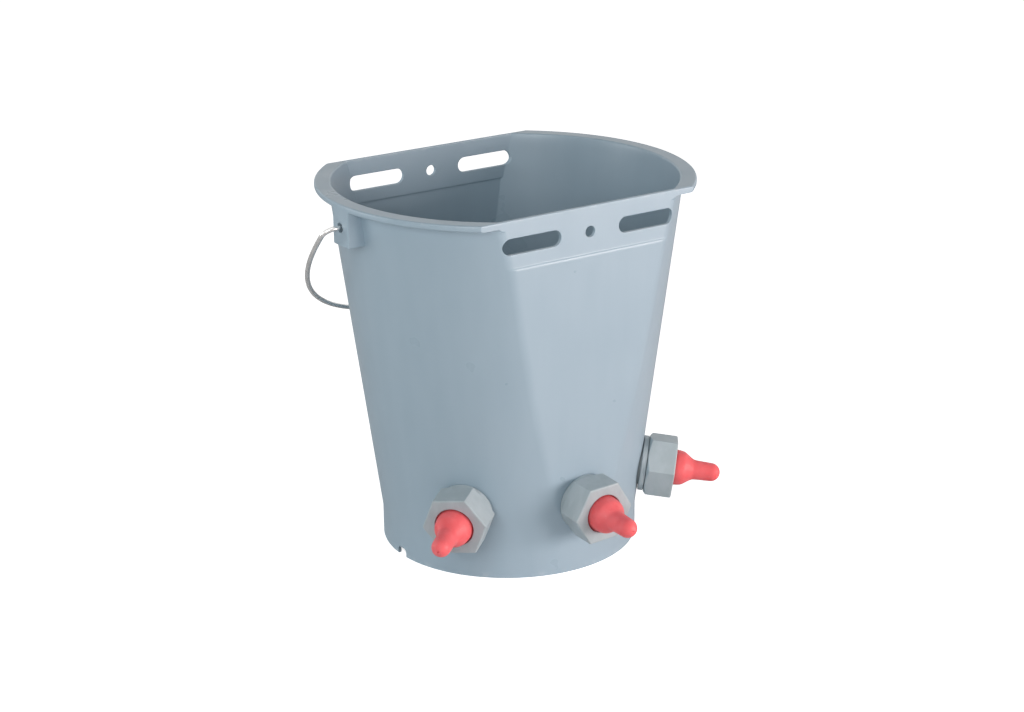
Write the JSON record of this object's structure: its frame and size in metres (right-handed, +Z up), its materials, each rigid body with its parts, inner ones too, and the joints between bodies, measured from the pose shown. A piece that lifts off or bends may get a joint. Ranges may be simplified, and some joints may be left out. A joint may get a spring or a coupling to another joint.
{
  "type": "multi-teat lamb feeding bucket",
  "caption": "Tapered plastic feeding bucket with two flattened sides, slots for hanging, a wire bail and rubber teats on screwed ball valves low on its front.",
  "frame": {"origin": "middle of the footprint of the whole object on the ground plane", "axes": "+Z up, -Y towards the front, where the middle teat points, +X to the right seen from the front; the bail pivots about an axis along X"},
  "size_m": [0.3292, 0.2898, 0.3],
  "materials": {
    "pail_plastic": "blue-grey moulded polypropylene, semi-gloss",
    "valve_plastic": "grey moulded plastic, satin",
    "teat_rubber": "coral red soft rubber, satin",
    "seal_rubber": "black rubber, matt",
    "white_plastic": "white moulded plastic, satin",
    "zinc_wire": "bright zinc plate"
  },
  "bodies": {
    "pail": {"bucket": "pail_plastic", "valve_housing_1": "valve_plastic", "inner_gasket_1": "seal_rubber", "backing_ring_1": "valve_plastic", "ball_retainer_1": "white_plastic", "valve_housing_2": "valve_plastic", "inner_gasket_2": "seal_rubber", "backing_ring_2": "valve_plastic", "ball_retainer_2": "white_plastic", "valve_housing_3": "valve_plastic", "inner_gasket_3": "seal_rubber", "backing_ring_3": "valve_plastic", "ball_retainer_3": "white_plastic"},
    "bail": {"bail_handle": "zinc_wire"},
    "nut_1": {"union_nut_1": "valve_plastic"},
    "rubber_teat_1": {"teat_1": "teat_rubber"},
    "ball_1": {"valve_ball_1": "white_plastic"},
    "nut_2": {"union_nut_2": "valve_plastic"},
    "rubber_teat_2": {"teat_2": "teat_rubber"},
    "ball_2": {"valve_ball_2": "white_plastic"},
    "nut_3": {"union_nut_3": "valve_plastic"},
    "rubber_teat_3": {"teat_3": "teat_rubber"},
    "ball_3": {"valve_ball_3": "white_plastic"}
  },
  "joints": [
    {"name": "bail_swing", "type": "hinge", "parent": "pail", "child": "bail", "pos_m": [0, 0.02602, 0.2815], "axis": [1, 0, 0], "range_deg": [0, 268]},
    {"name": "teat_draw_1", "type": "slide", "parent": "pail", "child": "rubber_teat_1", "axis": [-0.7781, -0.6145, -0.1298], "range_m": [0, 0.0151]},
    {"name": "nut_screw_1", "type": "hinge", "parent": "rubber_teat_1", "child": "nut_1", "pos_m": [-0.08493, -0.04106, 0.0588], "axis": [-0.7781, -0.6145, -0.1298], "range_deg": [0, 900]},
    {"name": "ball_lift_1", "type": "slide", "parent": "pail", "child": "ball_1", "axis": [-0.7781, -0.6145, -0.1298], "range_m": [-0.004, 0]},
    {"name": "teat_draw_2", "type": "slide", "parent": "pail", "child": "rubber_teat_2", "axis": [0, -0.999, -0.0457], "range_m": [0, 0.0151]},
    {"name": "nut_screw_2", "type": "hinge", "parent": "rubber_teat_2", "child": "nut_2", "pos_m": [0, -0.07983, 0.0588], "axis": [0, -0.999, -0.0457], "range_deg": [0, 900]},
    {"name": "ball_lift_2", "type": "slide", "parent": "pail", "child": "ball_2", "axis": [0, -0.999, -0.0457], "range_m": [-0.004, 0]},
    {"name": "teat_draw_3", "type": "slide", "parent": "pail", "child": "rubber_teat_3", "axis": [0.7781, -0.6145, -0.1298], "range_m": [0, 0.0151]},
    {"name": "nut_screw_3", "type": "hinge", "parent": "rubber_teat_3", "child": "nut_3", "pos_m": [0.08493, -0.04106, 0.0588], "axis": [0.7781, -0.6145, -0.1298], "range_deg": [0, 900]},
    {"name": "ball_lift_3", "type": "slide", "parent": "pail", "child": "ball_3", "axis": [0.7781, -0.6145, -0.1298], "range_m": [-0.004, 0]}
  ],
  "couplings": [
    {"joint": "teat_draw_1", "follows": "nut_screw_1", "m_per_rad": 0.00095493},
    {"joint": "teat_draw_2", "follows": "nut_screw_2", "m_per_rad": 0.00095493},
    {"joint": "teat_draw_3", "follows": "nut_screw_3", "m_per_rad": 0.00095493}
  ]
}
